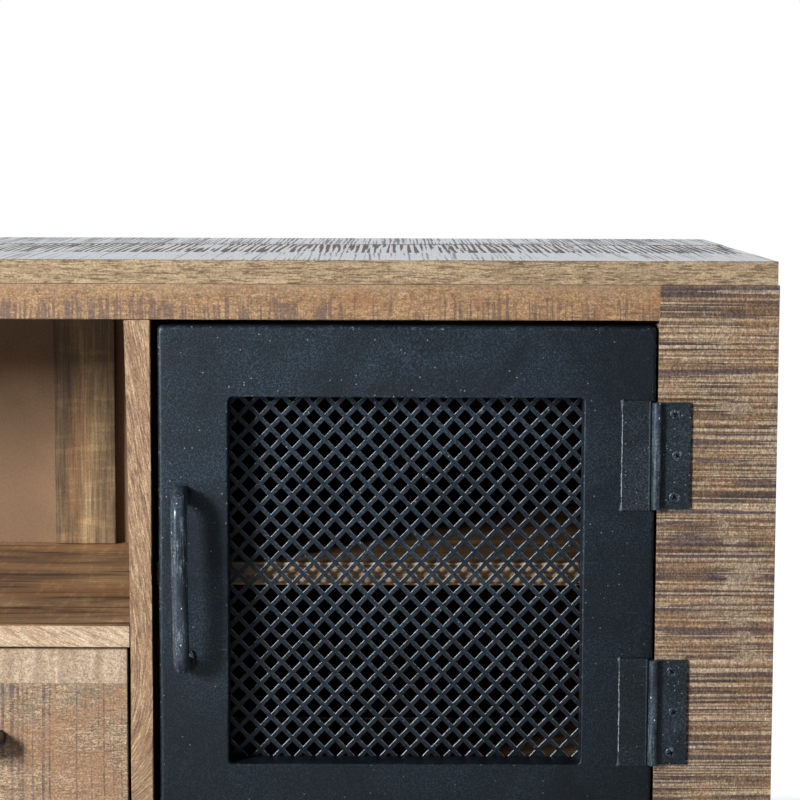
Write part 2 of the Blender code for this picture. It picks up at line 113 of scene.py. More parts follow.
class Shader:
    """Short calls that add nodes to the tree of a world or a material.

    A scale is one number for all axes, two for along the grain and across it, or three.
    """

    def __init__(self, owner):
        owner.use_nodes = True
        self.nodes = owner.node_tree.nodes
        self.links = owner.node_tree.links
        self.coords = self.nodes.new("ShaderNodeTexCoord").outputs

    def put(self, socket, value):
        if isinstance(value, Value):
            self.links.new(value.socket, socket)
        elif isinstance(value, tuple) and socket.type == 'RGBA':
            socket.default_value = (*value, 1.0)
        else:
            socket.default_value = value

    def add(self, kind, values, **settings):
        """Add a node, with values on its first inputs."""
        node = self.nodes.new("ShaderNode" + kind)
        for key, setting in settings.items():
            setattr(node, key, setting)
        for socket, value in zip(node.inputs, values):
            self.put(socket, value)
        return node

    def math(self, operation, first, second=0.0):
        return Value(self, self.add("Math", (first, second), operation=operation).outputs[0])

    def split(self, vector):
        return [Value(self, output) for output in self.add("SeparateXYZ", (vector,)).outputs]

    def join(self, x, y, z):
        return Value(self, self.add("CombineXYZ", (x, y, z)).outputs[0])

    def scaled(self, vector, scale, at=(0.0, 0.0, 0.0), turn=(0.0, 0.0, 0.0)):
        if not isinstance(scale, tuple):
            scale = (scale,) * 3
        elif len(scale) == 2:
            scale = (scale[0], scale[1], scale[1])
        return Value(self, self.add("Mapping", (vector, at, turn, scale)).outputs[0])

    def noise(self, vector, scale, detail=2.0, roughness=0.5, distortion=0.0, at=(0.0, 0.0, 0.0),
              turn=(0.0, 0.0, 0.0)):
        node = self.add("TexNoise", (self.scaled(vector, scale, at, turn),))
        node.inputs["Scale"].default_value = 1.0
        node.inputs["Detail"].default_value = detail
        node.inputs["Roughness"].default_value = roughness
        node.inputs["Distortion"].default_value = distortion
        return Value(self, node.outputs[0])

    def dots(self, vector, scale, size, share, at=(0.0, 0.0, 0.0)):
        """Scattered dots on a share of the cells: 1 in the middle of a dot, 0 outside it."""
        node = self.add("TexVoronoi", (self.scaled(vector, scale, at),))
        node.inputs["Scale"].default_value = 1.0
        cell = self.split(Value(self, node.outputs["Color"]))[0]
        distance = Value(self, node.outputs["Distance"])
        return self.span(distance, size, size * 0.4) * self.math('LESS_THAN', cell, share)

    def ramp(self, value, stops):
        node = self.add("ValToRGB", (value,))
        elements = node.color_ramp.elements
        while len(elements) < len(stops):
            elements.new(0.5)
        for element, (position, colour) in zip(elements, stops):
            element.position = position
            element.color = (*colour, 1.0)
        return Value(self, node.outputs[0])

    def span(self, value, low, high, to_low=0.0, to_high=1.0):
        """Remap value smoothly, so that low gives to_low and high gives to_high."""
        node = self.add("MapRange", (value, low, high, to_low, to_high), interpolation_type='SMOOTHSTEP')
        return Value(self, node.outputs[0])

    def mix(self, factor, first, second, blend='MIX'):
        node = self.add("Mix", (factor,), data_type='RGBA', blend_type=blend, clamp_factor=True)
        self.put(node.inputs[6], first)
        self.put(node.inputs[7], second)
        return Value(self, node.outputs[2])

    def tint(self, colour, target, value, low, high, strength):
        """Mix target into a colour: nothing where value is low, strength where it is high."""
        return self.mix(self.span(value, low, high, 0.0, strength), colour, target)

    def shade(self, colour, factor):
        """Multiply a colour by a factor."""
        return self.mix(1.0, colour, self.join(factor, factor, factor), 'MULTIPLY')


class Paint(Shader):
    """A material with one Principled shader."""

    def __init__(self, name, roughness, metallic=0.0, specular=0.5):
        self.material = bpy.data.materials.new(name)
        super().__init__(self.material)
        self.inputs = self.nodes["Principled BSDF"].inputs
        self.inputs["Roughness"].default_value = roughness
        self.inputs["Metallic"].default_value = metallic
        self.inputs["Specular IOR Level"].default_value = specular
        self.place = Value(self, self.coords["Object"])
        self.normal = Value(self, self.coords["Normal"])

    def relief(self, height, distance, strength):
        node = self.add("Bump", (strength, distance))
        self.put(node.inputs["Height"], height)
        self.links.new(node.outputs[0], self.inputs["Normal"])

    def finish(self, colour, roughness=None):
        self.put(self.inputs["Base Color"], colour)
        if roughness is not None:
            self.put(self.inputs["Roughness"], roughness)
        return self.material


def grain_space(paint, along, seed):
    """Coordinates in metres with x along the grain, moved so that no two boards look the same."""
    x, y, z = paint.split(paint.place)
    turned = paint.join(*{"x": (x, y, z), "y": (y, x, z), "z": (z, x, y)}[along])
    return paint.scaled(turned, 1.0, (seed * 3.17, seed * 1.93, seed * 2.41))


def wood(name, along, seed, roughness=0.58, specular=0.3):
    """A material and its grain space."""
    paint = Paint(name, roughness, specular=specular)
    return paint, grain_space(paint, along, seed)


def straight(paint, grain, sway):
    """Grain space bent a little, for saw marks that are nearly straight."""
    bend = paint.noise(grain, (5, 16), 1)
    x, y, z = paint.split(grain)
    return paint.join(x + bend * sway, y, z)


def masked(paint, vector, scale, low, high, at, detail, strength=1.0):
    """A noise cut to a mask: 0 below low, strength above high."""
    return paint.span(paint.noise(vector, scale, detail, 0.55, at=at), low, high, 0.0, strength)


def ticks(paint, grain, scale, amount):
    """Short fibres along the grain, as a factor round 1."""
    return paint.span(paint.noise(grain, scale, 1, 0.5), 0.38, 0.62, 1.0 - amount, 1.0 + amount)


def stippled(paint, colour, grain, amount):
    """Darken and lighten a colour in points of about a millimetre, as open pores do."""
    colour = paint.shade(colour, ticks(paint, grain, (620.0, 760.0), amount))
    finer = paint.scaled(grain, 1.0, (4.1, 2.3, 5.7))
    return paint.shade(colour, ticks(paint, finer, 1100.0, amount))


def facing(paint, axis):
    """1 on the faces that look along an axis, either way."""
    return paint.math('GREATER_THAN', paint.math('ABSOLUTE', paint.split(paint.normal)[axis]), 0.7)


def flecked(paint, grain, light, dark, fleck, pale, scale=(90.0, 820.0), amount=0.7):
    """Wood cut along its grain: a soft ground with thin dark pores and pale fibres."""
    broad = paint.noise(grain, (16, 110), 4, 0.65, 0.4)
    colour = paint.mix(paint.span(broad, 0.38, 0.62), light, dark)
    strokes = paint.noise(grain, (scale[0] * 0.5, scale[1] * 0.5), 3, 0.7, 0.3)
    colour = paint.tint(colour, pale, strokes, 0.48, 0.38, 0.40)
    colour = paint.tint(colour, fleck, strokes, 0.53, 0.62, amount * 0.45)
    for at, low, target in (((3, 5, 7), 0.575, fleck), ((8, 1, 2), 0.60, fleck), ((9, 2, 4), 0.59, pale)):
        thin = masked(paint, grain, scale, low, low + 0.04, at, 1.0, amount)
        colour = paint.mix(thin, colour, target)
    return stippled(paint, colour, grain, 0.13), strokes


def post_wood(name, seed, top=None):
    """Rough-sawn mango wood: purple-brown bands and fine pale lines straight across the grain.

    top is the height under which painted shade runs as a dark band along the joint with the top board.
    """
    paint, grain = wood(name, "z", seed, 0.62)
    sawn = straight(paint, grain, 0.0012)
    fine = paint.noise(sawn, (480, 3), 0)
    thin = paint.noise(sawn, (860, 7), 0, at=(5, 5, 5))
    wide = paint.noise(sawn, (215, 7), 1, 0.6, at=(2, 2, 2))
    patches = paint.noise(grain, (15, 20), 3, 0.6)
    level = fine * 0.46 + thin * 0.26 + wide * 0.28 + (patches - 0.5) * 0.13
    colour = paint.ramp(level, POST_STOPS)
    rust = paint.noise(grain, (18, 24), 2, at=(3, 5, 7))
    colour = paint.tint(colour, (0.27, 0.158, 0.080), rust, 0.46, 0.62, 0.42)
    bands = paint.noise(sawn, (250, 9), 1, 0.6, at=(6, 4, 2)) + (patches - 0.5) * 0.20 + (thin - 0.5) * 0.20
    colour = paint.tint(colour, (0.080, 0.058, 0.062), bands, 0.565, 0.605, 0.78)
    pale = masked(paint, sawn, (520, 6), 0.615, 0.650, (8, 1, 3), 0.0, 0.60)
    colour = paint.mix(pale, colour, (0.47, 0.375, 0.265))
    scrape = paint.noise(grain, (30, 22), 3, 0.6, at=(1, 2, 3)) + (0.5 - thin) * 0.42
    colour = paint.tint(colour, (0.300, 0.232, 0.165), scrape, 0.600, 0.614, 0.78)
    chips = paint.dots(grain, 330, 0.20, 0.10)
    colour = paint.mix(chips * 0.55, colour, (0.52, 0.47, 0.40))
    # Painted shade: a dark band just under the joint with the top board.
    if top is not None:
        shade_band_height = paint.split(paint.place)[2] + (rust - 0.5) * 0.012
        colour = paint.tint(colour, (0.095, 0.070, 0.068), shade_band_height, top - 0.0040, top - 0.0022, 0.70)
    colour = paint.shade(colour, ticks(paint, grain, (140.0, 800.0), 0.13))
    colour = stippled(paint, colour, grain, 0.25)
    paint.relief(level * -1.0, 0.0014, 0.6)
    return paint.finish(colour)


def apron_wood(name, seed, marks_below=1.0, busy=1.0):
    """Orange-tan wood with a fine grain and short upright saw marks that start below a height."""
    paint, grain = wood(name, "x", seed)
    place_x, _, height = paint.split(paint.place)
    colour, strokes = flecked(paint, grain, (0.335, 0.208, 0.106), (0.272, 0.158, 0.079),
                              (0.150, 0.083, 0.050), (0.39, 0.262, 0.145), (95.0, 900.0), 0.42)
    rust = paint.noise(grain, (20, 60), 3, 0.6, at=(2, 4, 6))
    colour = paint.tint(colour, (0.26, 0.118, 0.060), rust, 0.50, 0.66, 0.45)
    area = paint.noise(grain, (11, 30), 2, at=(7, 7, 7))
    side = paint.span(place_x, 0.05, 0.60, 0.08, -0.02)
    sawn = straight(paint, grain, 0.004)
    lines = paint.noise(sawn, (460, 20), 2, 0.7) + (area - 0.5) * 0.24 + side * busy
    reach = height + (paint.noise(grain, (210, 3), 2, 0.6, at=(5, 5, 5)) - 0.5) * 0.026
    marks = paint.span(lines, 0.500, 0.575) * paint.span(reach, marks_below, marks_below - 0.007)
    colour = paint.mix(marks * 0.66, colour, MARK_PURPLE)
    colour = paint.tint(colour, (0.31, 0.225, 0.145), reach, marks_below - 0.001, marks_below + 0.006, 0.42)
    paint.relief(strokes + marks, 0.0008, -0.5)
    return paint.finish(stippled(paint, colour, grain, 0.08))


def drawer_wood(name, seed, top):
    """Orange-tan wood with short dark dashes along the grain, upright streaks, and grey stain above."""
    paint, grain = wood(name, "x", seed)
    colour, strokes = flecked(paint, grain, (0.355, 0.250, 0.158), (0.270, 0.180, 0.108),
                              (0.105, 0.072, 0.053), (0.46, 0.355, 0.250), (130.0, 780.0), 0.60)
    broad = paint.noise(grain, (14, 20), 2, at=(2, 4, 6))
    colour = paint.tint(colour, (0.30, 0.160, 0.082), broad, 0.46, 0.62, 0.50)
    toning = paint.noise(grain, (60, 150), 3, 0.65, at=(9, 9, 9))
    toning = toning + paint.span(paint.split(paint.place)[2], top - 0.045, top, -0.10, 0.06)
    colour = paint.tint(colour, (0.190, 0.165, 0.120), toning, 0.50, 0.60, 0.55)
    sawn = straight(paint, grain, 0.002)
    ruddy = paint.noise(sawn, (150, 4), 1, at=(5, 1, 3))
    colour = paint.tint(colour, (0.29, 0.160, 0.082), ruddy, 0.54, 0.66, 0.48)
    lines = paint.noise(sawn, (430, 3.5), 0, at=(1, 1, 1))
    broken = paint.noise(grain, (90, 120), 3, 0.7, at=(7, 5, 3))
    marks = paint.span(lines, 0.575, 0.68, 0.0, 0.80) * paint.span(broken, 0.40, 0.58, 0.35, 1.0)
    colour = paint.mix(marks, colour, (0.100, 0.072, 0.072))
    pores = paint.dots(grain, 38, 0.075, 0.30)
    colour = paint.mix(pores * 0.75, colour, (0.50, 0.42, 0.31))
    paint.relief(strokes + marks, 0.0008, -0.5)
    return paint.finish(stippled(paint, colour, grain, 0.12))


def strip_wood(name, seed):
    """The pale strip along a drawer's upper edge, with faint upright stripes and fine dark pores."""
    paint, grain = wood(name, "x", seed)
    stripes = paint.noise(straight(paint, grain, 0.004), (170, 12), 2)
    colour = paint.ramp(stripes, STRIP_STOPS)
    broad = paint.noise(grain, (12, 40), 2, at=(2, 4, 6))
    colour = paint.tint(colour, (0.36, 0.235, 0.140), broad, 0.48, 0.64, 0.55)
    pits = masked(paint, grain, (760, 620), 0.565, 0.62, (4, 4, 4), 1.0, 0.50)
    colour = paint.mix(pits, colour, (0.17, 0.105, 0.075))
    paint.relief(stripes, 0.0004, 0.5)
    return paint.finish(stippled(paint, colour, grain, 0.14))


def planed_wood(name, along, seed, stops, streak=RUST_WOOD, roughness=0.45, width=60.0):
    """Planed and oiled wood: long figure in the colours of stops, dark veins, reddish streaks."""
    paint, grain = wood(name, along, seed, roughness, 0.4)
    return paint.finish(planed_colour(paint, grain, stops, streak, width))


def planed_colour(paint, grain, stops, streak, width):
    figure = paint.noise(grain, (4.5, width), 5, 0.62, 0.9)
    colour = paint.ramp(figure, stops)
    reddish = masked(paint, grain, (5.0, width * 1.3), 0.52, 0.62, (4, 2, 6), 3.0, 0.65)
    colour = paint.mix(reddish, colour, streak)
    veins = masked(paint, grain, (3.5, width * 3.2), 0.58, 0.64, (1, 8, 3), 2.0, 0.80)
    colour = paint.mix(veins, colour, stops[-1][1])
    # Ripple figure across the grain; its lighter bands are a painted sheen.
    ripple_sheen = masked(paint, grain, (150, 22), 0.50, 0.66, (2, 6, 1), 2.0)
    colour = paint.shade(colour, paint.span(ripple_sheen, 0.0, 1.0, 1.0, 1.30))
    colour = paint.shade(colour, ticks(paint, grain, (24.0, 700.0), 0.20))
    paint.relief(figure, 0.0003, 0.4)
    return stippled(paint, colour, grain, 0.10)


def divider_wood(name, seed, top):
    """A divider: pale and reddish strokes on its front edge, upright above and slanting below."""
    paint, grain = wood(name, "z", seed, 0.56)
    down = paint.math('MAXIMUM', top - paint.split(paint.place)[2], 0.0)
    bend = paint.math('POWER', down, 7.0) * -177.0 + down * 0.19
    along, across, depth = paint.split(grain)
    edge, strokes = flecked(paint, paint.join(along, across - bend, depth), (0.35, 0.225, 0.132),
                            (0.26, 0.152, 0.090), (0.140, 0.080, 0.055), (0.50, 0.370, 0.225),
                            (85.0, 1250.0), 0.74)
    face = planed_colour(paint, grain, DARK_STOPS, RUST_WOOD, 50.0)
    paint.relief(strokes, 0.0008, -0.5)
    return paint.finish(paint.mix(facing(paint, 0), edge, face))


def partition_wood(name, seed):
    """The upright between the drawers, of which only the front edge shows."""
    paint, grain = wood(name, "z", seed)
    colour, strokes = flecked(paint, grain, (0.38, 0.260, 0.160), (0.30, 0.190, 0.110),
                              (0.16, 0.095, 0.060), (0.50, 0.380, 0.260))
    paint.relief(strokes, 0.0008, -0.5)
    return paint.finish(colour)


def shelf_wood(name, node, seed):
    """A cupboard shelf: a pale front edge with bright arrises, and a face darkened towards the back by
    painted shade.
    """
    low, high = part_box(node)
    paint, grain = wood(name, "x", seed, 0.45, 0.4)
    _, depth, height = paint.split(paint.place)
    face = planed_colour(paint, grain, SHELF_STOPS, RUST_WOOD, 60.0)
    # Painted shade: the face darkens towards the back.
    face = paint.shade(face, paint.span(depth, low.y + 0.10, low.y + 0.17, 1.0, 0.35))
    edge, _ = flecked(paint, grain, (0.34, 0.216, 0.120), (0.25, 0.153, 0.084), (0.13, 0.076, 0.043),
                      (0.46, 0.316, 0.190), (110.0, 600.0), 0.55)
    bottom = low.z - SHELF_EXTRA
    arris = paint.math('MAXIMUM', paint.span(height, high.z - 0.0020, high.z - 0.0012),
                       paint.span(height, bottom + 0.0018, bottom + 0.0010))
    edge = paint.mix(arris * 0.85, edge, (0.62, 0.470, 0.335))
    front = paint.math('LESS_THAN', paint.split(paint.normal)[1], -0.35)
    return paint.finish(paint.mix(front, face, edge))


def niche_wood(name, seed):
    """The niche floor: dark planed wood above, pale slanting grain on the front edge."""
    paint, grain = wood(name, "x", seed, 0.42, 0.4)
    face = planed_colour(paint, grain, NICHE_STOPS, (0.42, 0.215, 0.095), 17.0)
    slanting = paint.scaled(grain, 1.0, turn=(0.0, -0.42, 0.0))
    edge, strokes = flecked(paint, slanting, (0.50, 0.385, 0.265), (0.43, 0.310, 0.200),
                            (0.26, 0.150, 0.085), (0.64, 0.530, 0.395), (60.0, 760.0), 0.60)
    paint.relief(strokes, 0.0006, -0.4)
    return paint.finish(paint.mix(facing(paint, 2), edge, face))


def top_wood(name, seed, per_metre, threshold, deepest):
    """A plank of the top: dark saw marks from front to back under a sheen, and a flecked tan edge."""
    paint, grain = wood(name, "x", seed, 0.62)
    broad = paint.noise(grain, (5, 22), 3, 0.55, 0.4)
    face = paint.mix(paint.span(broad, 0.35, 0.65), (0.24, 0.175, 0.125), (0.15, 0.105, 0.072))
    sawn = straight(paint, grain, 0.002)
    drift = paint.noise(grain, (38, 4), 1, at=(3, 3, 3))
    phase = paint.split(sawn)[0] * (per_metre * 2 * math.pi) + drift * 14.0
    thin = paint.noise(sawn, (per_metre * 1.7, 4.0), 1, at=(3, 3, 3))
    area = paint.noise(grain, 14, 2, at=(6, 6, 6))
    level = paint.math('SINE', phase) * 0.11 + thin + (area - 0.5) * 0.42
    marks = paint.span(level, threshold, threshold + 0.15)
    face = stippled(paint, paint.mix(marks, face, (0.105, 0.076, 0.058)), grain, 0.12)
    edge, strokes = flecked(paint, grain, (0.378, 0.284, 0.178), (0.300, 0.215, 0.129),
                            (0.100, 0.064, 0.040), (0.46, 0.355, 0.225), (100.0, 820.0), 0.62)
    paint.relief(strokes, 0.0006, -0.4)
    upward = facing(paint, 2)
    smooth = paint.span(marks, 0.0, 1.0, 1.0, deepest) * upward
    paint.put(paint.inputs["Coat Weight"], smooth * 0.90)
    paint.inputs["Coat Roughness"].default_value = 0.24
    return paint.finish(paint.mix(upward, edge, face), paint.span(smooth, 0.0, 1.0, 0.9, 0.5))


def fibreboard(name):
    """Smooth brown fibreboard with a fine felted speckle, darkened inside the cupboards by painted shade."""
    paint = Paint(name, 0.6, specular=0.3)
    felt = paint.noise(paint.place, 700, 2, 0.6)
    clouds = paint.noise(paint.place, 14, 3)
    colour = paint.mix(paint.span(clouds, 0.35, 0.65), (0.245, 0.148, 0.084), (0.200, 0.122, 0.069))
    colour = paint.shade(colour, paint.span(felt, 0.3, 0.7, 0.88, 1.12))
    dark = paint.dots(paint.place, 110, 0.09, 0.4)
    pale = paint.dots(paint.place, 70, 0.06, 0.3, (3, 3, 3))
    colour = paint.mix(dark * 0.4, colour, (0.10, 0.060, 0.040))
    colour = paint.mix(pale * 0.4, colour, (0.42, 0.30, 0.20))
    # Painted shade: darker inside the cupboards, but not on the back face.
    from_middle = paint.math('ABSOLUTE', paint.split(paint.place)[0])
    outside = paint.math('GREATER_THAN', paint.split(paint.normal)[1], 0.5)
    toning = paint.math('MAXIMUM', paint.span(from_middle, 0.285, 0.30, 1.0, 0.30), outside)
    paint.relief(felt, 0.0001, 0.4)
    return paint.finish(paint.shade(colour, toning))


def black_steel(name, seed, dark=STEEL_BLUE, pale=STEEL_PALE, roughness=0.40, worn=0.0, specks=0.3, painted_shade=1.0):
    """Blackened steel: cloudy blue-grey, fine grit, white specks and a few long scratches.

    painted_shade is how much painted shade darkens it towards the floor and towards the hinges.
    """
    paint = Paint(name, roughness, specular=0.42)
    paint.put(paint.inputs["Specular Tint"], STEEL_TINT)
    place = paint.scaled(paint.place, 1.0, (seed * 2.3, seed * 1.1, seed * 3.7))
    clouds = paint.noise(place, 15, 4, 0.6, 0.6)
    grit = paint.noise(place, 950, 1, 0.7)
    colour = paint.mix(paint.span(clouds, 0.36, 0.66), dark, pale)
    colour = paint.shade(colour, paint.span(grit, 0.36, 0.64, 0.45, 1.6))
    colour = paint.tint(colour, (0.20, 0.26, 0.32), grit + (clouds - 0.5) * 0.25, 0.57, 0.70, 0.07)
    fine_specks = paint.dots(place, 400, 0.26, specks * 0.20)
    big_specks = paint.dots(place, 90, 0.06, specks * 0.10, (2, 2, 2))
    colour = paint.mix(paint.math('MAXIMUM', fine_specks, big_specks) * 0.7, colour, (0.30, 0.34, 0.36))
    scratches = paint.noise(place, (9, 9, 500), 1, 0.5, 0.2, turn=(0.0, 0.5, 0.0))
    scratched = paint.span(paint.noise(place, 30, 2), 0.60, 0.70)
    colour = paint.mix(paint.span(scratches, 0.68, 0.74) * scratched * 0.40, colour, (0.20, 0.24, 0.27))
    if worn:
        wear = paint.noise(place, (420, 420, 160), 3, 0.7, 0.5)
        colour = paint.tint(colour, WORN_STEEL, wear, 0.53, 0.64, worn)
    across, _, up = paint.split(paint.place)
    from_middle = paint.math('ABSOLUTE', across)
    # Painted shade: darker towards the floor and towards the hinge sides.
    colour = paint.shade(colour, paint.span(up, 0.11, 0.34, 1.0 - 0.62 * painted_shade, 1.0))
    colour = paint.shade(colour, paint.span(from_middle, 0.56, 0.63, 1.0, 1.0 - 0.45 * painted_shade))
    paint.relief(grit * 0.16 + clouds, 0.0012, 0.5)
    return paint.finish(colour, paint.span(clouds, 0.3, 0.7, roughness + 0.08, roughness - 0.06))


def forged_steel(name, along, seed, worn=0.80):
    """A forged bar or hinge barrel: dark blue-grey with bright streaks along it, part wear and part painted
    highlight, and painted glints.
    """
    paint = Paint(name, 0.30, specular=0.55)
    paint.put(paint.inputs["Specular Tint"], STEEL_TINT)
    grain = grain_space(paint, along, seed)
    clouds = paint.noise(grain, (30, 90), 3, 0.6)
    colour = paint.mix(paint.span(clouds, 0.35, 0.65), (0.009, 0.014, 0.022), (0.040, 0.056, 0.078))
    # Bright streaks along the bar: part wear, part painted highlight.
    wear_and_highlight_streaks = paint.span(paint.noise(grain, (95, 900), 2, 0.6, 0.2), 0.50, 0.60)
    patches = masked(paint, grain, (24, 60), 0.44, 0.58, (4, 4, 4), 2.0)
    colour = paint.mix(wear_and_highlight_streaks * patches * worn, colour, WORN_STEEL)
    # Painted glints: small bright dots.
    glints = paint.dots(grain, (200, 330), 0.20, 0.16)
    colour = paint.mix(glints, colour, (0.42, 0.46, 0.48))
    grit = paint.noise(grain, (700, 800), 1, 0.6)
    colour = paint.shade(colour, paint.span(grit, 0.35, 0.65, 0.6, 1.45))
    paint.relief(clouds + grit * 0.14, 0.0006, 0.6)
    return paint.finish(colour, paint.span(clouds, 0.3, 0.7, 0.38, 0.24))


def highlight_steel(name, brightness):
    """Bare bright steel, used as painted highlight: on the side of each hole that faces the lamp, and on the
    weld bead.
    """
    paint = Paint(name, 0.55, metallic=0.5)
    grit = paint.noise(paint.place, 500, 2, 0.7)
    return paint.finish(paint.shade(paint.ramp(grit, HIGHLIGHT_STOPS), brightness))


# ---------------------------------------------------------------- mesh tools

def add_object(name, data):
    item = bpy.data.objects.new(name, data)
    bpy.context.scene.collection.objects.link(item)
    return item


def helper(name, bm):
    mesh = bpy.data.meshes.new(name)
    bm.to_mesh(mesh)
    bm.free()
    return add_object(name, mesh)


def discard(item):
    mesh = item.data
    bpy.data.objects.remove(item)
    bpy.data.meshes.remove(mesh)


def claim(piece, body, node):
    """Set the body a piece rides on and hide the CAD node it replaces; only welds replace none."""
    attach(piece, body)
    if node is not None:
        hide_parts(node)
    return piece


def to_object(name, bm, materials, body, node=None, smooth=True):
    bmesh.ops.recalc_face_normals(bm, faces=bm.faces[:])
    piece = helper(name, bm)
    for material in materials:
        piece.data.materials.append(material)
    if smooth:
        piece.data.shade_smooth()
    return claim(piece, body, node)


def skin(bm, rings, choose=lambda strip, index: 0):
    """Four-sided faces between successive rings of vertices; choose gives the material of each."""
    for strip, (first, second) in enumerate(zip(rings, rings[1:])):
        for index in range(len(first)):
            after = (index + 1) % len(first)
            face = bm.faces.new((first[index], first[after], second[after], second[index]))
            face.material_index = choose(strip, index)


def even_normals(piece, angle=40.0):
    """Smooth shading that keeps large faces flat."""
    piece.data.set_sharp_from_angle(angle=math.radians(angle))
    step = piece.modifiers.new("even_normals", 'WEIGHTED_NORMAL')
    step.keep_sharp = True
    return piece


def apply_modifiers(piece):
    graph = bpy.context.evaluated_depsgraph_get()
    graph.update()
    mesh = bpy.data.meshes.new_from_object(piece.evaluated_get(graph))
    old = piece.data
    piece.modifiers.clear()
    piece.data = mesh
    bpy.data.meshes.remove(old)


def carve(piece, steps):
    """Apply booleans in turn and remove their helpers; steps are (helper, operation)."""
    for tool, operation in steps:
        step = piece.modifiers.new(tool.name, 'BOOLEAN')
        step.object = tool
        step.operation = operation
    apply_modifiers(piece)
    for tool, _ in steps:
        discard(tool)


def slice_cells(bm, cell):
    """Cut a mesh into cells of about this size along each axis."""
    for axis in range(3):
        places = [vert.co[axis] for vert in bm.verts]
        low, high = min(places), max(places)
        count = int((high - low) / cell)
        direction = Vector()
        direction[axis] = 1.0
        for step in range(1, count + 1):
            place = low + (high - low) * step / (count + 1)
            bmesh.ops.bisect_plane(
                bm, geom=bm.verts[:] + bm.edges[:] + bm.faces[:], dist=0.00001,
                plane_co=direction * place, plane_no=direction)


def roughen(bm, seed, wander, wear, tight):
    """Bend the faces a little and rub the edges down unevenly, except at the height tight."""
    bm.normal_update()
    shift = Vector((seed * 7.1, seed * 3.3, seed * 5.7))
    for vert in bm.verts:
        slow = noise.noise_vector(vert.co * 11.0 + shift)
        cornerness = 1.0 - max(abs(part) for part in vert.normal)
        rub = 0.5 + 0.9 * noise.noise(vert.co * 70.0 + shift) + 0.6 * noise.noise(vert.co * 22.0 - shift)
        if tight is not None and abs(vert.co.z - tight) < 0.0008:
            rub = 0.0
            slow = Vector()
        vert.co += slow * wander - vert.normal * (max(rub, 0.0) * wear * min(cornerness * 3.4, 1.0))


def add_block(bm, low, high):
    low, high = Vector(low), Vector(high)
    size = Matrix.Diagonal((*(high - low), 1.0))
    bmesh.ops.create_cube(bm, size=1.0, matrix=Matrix.Translation((low + high) / 2) @ size)


def cut_notch(bm, low, high):
    """A box without its part inside low..high, which goes through a corner or an edge."""
    block = bmesh.new()
    add_block(block, low, high)
    holder = helper("holder", bm)
    carve(holder, [(helper("cutter", block), 'DIFFERENCE')])
    bm = bmesh.new()
    bm.from_mesh(holder.data)
    bmesh.ops.dissolve_limit(bm, angle_limit=0.01, verts=bm.verts[:], edges=bm.edges[:])
    discard(holder)
    return bm


def clamp_to(bm, low, high):
    for vert in bm.verts:
        for axis in range(3):
            vert.co[axis] = min(max(vert.co[axis], low[axis]), high[axis])


def timber(node, material, seed, name=None, body="carcass", low=None, high=None, cell=0.014,
           edge=0.0006, wander=0.0003, wear=0.0006, notch=None, shape=None, tight=None):
    """A board in place of a CAD node, with bevelled, slightly uneven edges.

    notch is a box cut from the board, as two corners; shape is a function that moves its vertices;
    tight is the height of the face that butts against another board, whose edges stay sharp.
    """
    box_low, box_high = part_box(node)
    low = box_low if low is None else Vector(low)
    high = box_high if high is None else Vector(high)
    bm = bmesh.new()
    add_block(bm, low, high)
    if notch is not None:
        bm = cut_notch(bm, *notch)
    edges = [item for item in bm.edges if tight is None
             or any(abs(vert.co.z - tight) > 0.00001 for vert in item.verts)]
    bmesh.ops.bevel(bm, geom=edges, offset=edge, segments=2, profile=0.5, affect='EDGES')
    slice_cells(bm, cell)
    roughen(bm, seed, wander, wear, tight)
    clamp_to(bm, low, high)
    if shape is not None:
        shape(bm)
    return even_normals(to_object(name or node, bm, (material,), body, node))


# ---------------------------------------------------------------- boards

TOP_PLANKS = (  # depth of the back edge, saw marks a metre, where they turn dark, sheen left in them
    (0.119, 300.0, 0.560, 0.42),
    (0.274, 215.0, 0.430, 0.08),
    (0.432, 330.0, 0.475, 0.30),
)


def make_top():
    """Three planks with their grain along the stand; the saw marks stop at each joint."""
    low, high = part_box("top_board")
    start = low.y
    for index, (back, per_metre, threshold, deepest) in enumerate(TOP_PLANKS):
        end = min(low.y + back, high.y)
        name = "top_plank_%d" % (index + 1)
        timber("top_board", top_wood(name, 1.7 + index, per_metre, threshold, deepest), index + 1, name,
               low=(low.x + TOP_INSET, start, low.z),
               high=(high.x - TOP_INSET, end, high.z - 0.0003 * (index % 2)),
               cell=0.02, wander=0.0002, wear=0.0005, tight=low.z)
        start = end


def make_fronts():
    low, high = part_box("top_rail")
    joint = high.z
    overlap = Vector((RAIL_TENON, 0.0, 0.0))
    timber("top_rail", apron_wood("rail_wood", 4.0, joint - 0.007), 4, low=low - overlap,
           high=high + overlap, wander=0.0002, wear=0.0005, tight=joint)
    timber("bottom_rail", apron_wood("lower_rail_wood", 9.0, busy=0.2), 5)
    for name, side in SIDES.items():
        timber("front_post_" + name, post_wood("post_wood_" + name, 6.0 + side, joint), 6 + side,
               edge=0.0003, wander=0.0001, wear=0.0002, tight=joint)
        low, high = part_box("side_panel_" + name)
        arch = ((low.x - 0.01, low.y - 0.01, -0.01), (high.x + 0.01, high.y - ARCH_FOOT, ARCH_HEIGHT))
        timber("side_panel_" + name, post_wood("side_wood_" + name, 11.0 + side), 10 + side,
               cell=0.02, edge=0.0003, wander=0.0001, wear=0.0002, notch=arch, tight=joint)


def flare_divider(bm, side, top):
    """Widen a divider towards its top, as the wavy hand-cut board is."""
    for vert in bm.verts:
        if vert.co.x * side < FLARE_FACE:
            rise = min(max((vert.co.z - top + FLARE_HEIGHT) / FLARE_HEIGHT, 0.0), 1.0)
            vert.co.x -= side * FLARE * rise * rise


